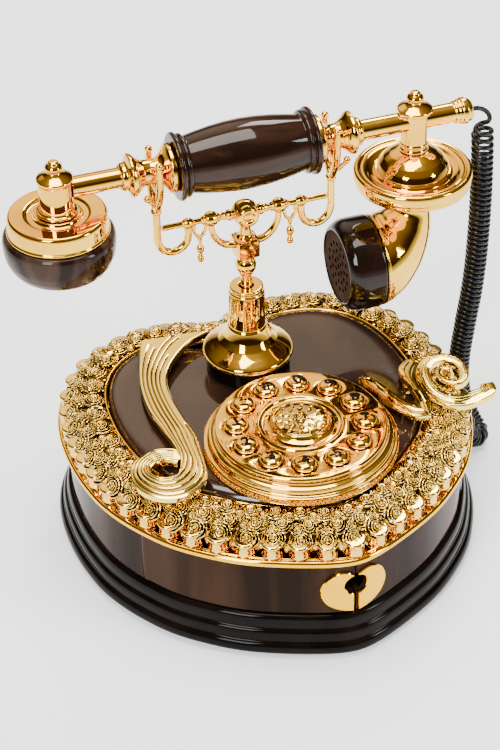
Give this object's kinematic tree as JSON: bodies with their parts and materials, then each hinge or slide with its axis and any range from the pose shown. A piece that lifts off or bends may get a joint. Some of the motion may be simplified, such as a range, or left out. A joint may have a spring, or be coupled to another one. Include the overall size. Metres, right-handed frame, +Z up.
{
  "type": "cradle telephone",
  "caption": "Heart-shaped desk telephone with a spring cradle, lift-off handset, push-key dial, rose-relief band and two swing-out drawers.",
  "frame": {"origin": "middle of the phone's box on the surface it stands on, the cord left out", "axes": "+Z up, the heart's tip and the drawers towards -Y, the mouthpiece end of the handset towards +X"},
  "size_m": [0.2621, 0.2198, 0.2298],
  "materials": {
    "gilt_metal": "gold plated, mirror polished",
    "gilt_plastic": "gold plated, mirror polished",
    "brown_gloss": "high gloss, chocolate brown",
    "black_brown": "high gloss, nearly black",
    "cord_black": "semi-gloss black",
    "foot_rubber": "matt",
    "black_plastic": "satin",
    "circuit_board": "satin",
    "sheet_steel": "zinc plated",
    "spring_steel": "bright drawn wire"
  },
  "bodies": {
    "base": {"plinth": "black_brown", "bottom_plate": "sheet_steel", "body_wall": "brown_gloss", "drawer_pin_left": "sheet_steel", "drawer_pin_right": "sheet_steel", "gold_rim": "gilt_plastic", "rose_band": "gilt_plastic", "inner_trim": "gilt_plastic", "top_plate": "brown_gloss", "ribbon_left": "gilt_plastic", "ribbon_right": "gilt_plastic", "dial_base": "gilt_plastic", "keypad_board": "circuit_board", "dial_plate": "gilt_plastic", "dial_medallion": "gilt_plastic", "column_foot": "brown_gloss", "bell_column": "gilt_plastic", "hook_switch": "black_plastic", "main_board": "circuit_board", "ringer": "sheet_steel", "line_socket": "black_plastic", "cord_socket": "black_plastic", "curly_cord": "cord_black", "foot_front_left": "foot_rubber", "foot_front_right": "foot_rubber", "foot_rear_left": "foot_rubber", "foot_rear_right": "foot_rubber"},
    "cradle": {"cradle_rod": "gilt_metal", "cradle_spring": "spring_steel", "cradle_frame": "gilt_metal", "cradle_hook_left": "gilt_metal", "cradle_hook_right": "gilt_metal"},
    "handset": {"handset_bar": "gilt_plastic", "handset_grip": "brown_gloss", "ferrule_right": "gilt_plastic", "ferrule_left": "gilt_plastic", "receiver_post": "gilt_plastic", "receiver_housing": "gilt_plastic", "receiver_cup": "brown_gloss", "receiver_capsule": "sheet_steel", "transmitter_post": "gilt_plastic", "transmitter_horn": "gilt_plastic", "mouthpiece_cap": "brown_gloss", "microphone": "sheet_steel"},
    "left_drawer": {"drawer_left": "brown_gloss", "heart_pull_left": "gilt_plastic"},
    "right_drawer": {"drawer_right": "brown_gloss", "heart_pull_right": "gilt_plastic"},
    "key_1": {"key_1": "gilt_plastic"},
    "key_2": {"key_2": "gilt_plastic"},
    "key_3": {"key_3": "gilt_plastic"},
    "key_4": {"key_4": "gilt_plastic"},
    "key_5": {"key_5": "gilt_plastic"},
    "key_6": {"key_6": "gilt_plastic"},
    "key_7": {"key_7": "gilt_plastic"},
    "key_8": {"key_8": "gilt_plastic"},
    "key_9": {"key_9": "gilt_plastic"},
    "key_0": {"key_0": "gilt_plastic"},
    "key_hash": {"key_hash": "gilt_plastic"},
    "key_star": {"key_star": "gilt_plastic"}
  },
  "joints": [
    {"name": "left_drawer_hinge", "type": "hinge", "parent": "base", "child": "left_drawer", "pos_m": [-0.0835, -0.03823, 0.041], "axis": [0, 0, -1], "range_deg": [0, 55]},
    {"name": "right_drawer_hinge", "type": "hinge", "parent": "base", "child": "right_drawer", "pos_m": [0.0859, -0.03823, 0.041], "axis": [0, 0, 1], "range_deg": [0, 55]},
    {"name": "handset_lift", "type": "slide", "parent": "base", "child": "handset", "axis": [0, 0, 1], "range_m": [0, 0.04]},
    {"name": "cradle_rise", "type": "slide", "parent": "base", "child": "cradle", "axis": [0, 0, 1], "range_m": [0, 0.004], "stiffness_N_per_m": 200, "springref_m": 0.016, "deforming": ["cradle_spring"]},
    {"name": "key_1_press", "type": "slide", "parent": "base", "child": "key_1", "axis": [0, 0, -1], "range_m": [0, 0.0015], "stiffness_N_per_m": 600, "springref_m": -0.001},
    {"name": "key_2_press", "type": "slide", "parent": "base", "child": "key_2", "axis": [0, 0, -1], "range_m": [0, 0.0015], "stiffness_N_per_m": 600, "springref_m": -0.001},
    {"name": "key_3_press", "type": "slide", "parent": "base", "child": "key_3", "axis": [0, 0, -1], "range_m": [0, 0.0015], "stiffness_N_per_m": 600, "springref_m": -0.001},
    {"name": "key_4_press", "type": "slide", "parent": "base", "child": "key_4", "axis": [0, 0, -1], "range_m": [0, 0.0015], "stiffness_N_per_m": 600, "springref_m": -0.001},
    {"name": "key_5_press", "type": "slide", "parent": "base", "child": "key_5", "axis": [0, 0, -1], "range_m": [0, 0.0015], "stiffness_N_per_m": 600, "springref_m": -0.001},
    {"name": "key_6_press", "type": "slide", "parent": "base", "child": "key_6", "axis": [0, 0, -1], "range_m": [0, 0.0015], "stiffness_N_per_m": 600, "springref_m": -0.001},
    {"name": "key_7_press", "type": "slide", "parent": "base", "child": "key_7", "axis": [0, 0, -1], "range_m": [0, 0.0015], "stiffness_N_per_m": 600, "springref_m": -0.001},
    {"name": "key_8_press", "type": "slide", "parent": "base", "child": "key_8", "axis": [0, 0, -1], "range_m": [0, 0.0015], "stiffness_N_per_m": 600, "springref_m": -0.001},
    {"name": "key_9_press", "type": "slide", "parent": "base", "child": "key_9", "axis": [0, 0, -1], "range_m": [0, 0.0015], "stiffness_N_per_m": 600, "springref_m": -0.001},
    {"name": "key_0_press", "type": "slide", "parent": "base", "child": "key_0", "axis": [0, 0, -1], "range_m": [0, 0.0015], "stiffness_N_per_m": 600, "springref_m": -0.001},
    {"name": "key_hash_press", "type": "slide", "parent": "base", "child": "key_hash", "axis": [0, 0, -1], "range_m": [0, 0.0015], "stiffness_N_per_m": 600, "springref_m": -0.001},
    {"name": "key_star_press", "type": "slide", "parent": "base", "child": "key_star", "axis": [0, 0, -1], "range_m": [0, 0.0015], "stiffness_N_per_m": 600, "springref_m": -0.001}
  ],
  "couplings": [
    {"joint": "cradle_rise", "follows": "handset_lift", "ratio": 0.1}
  ]
}
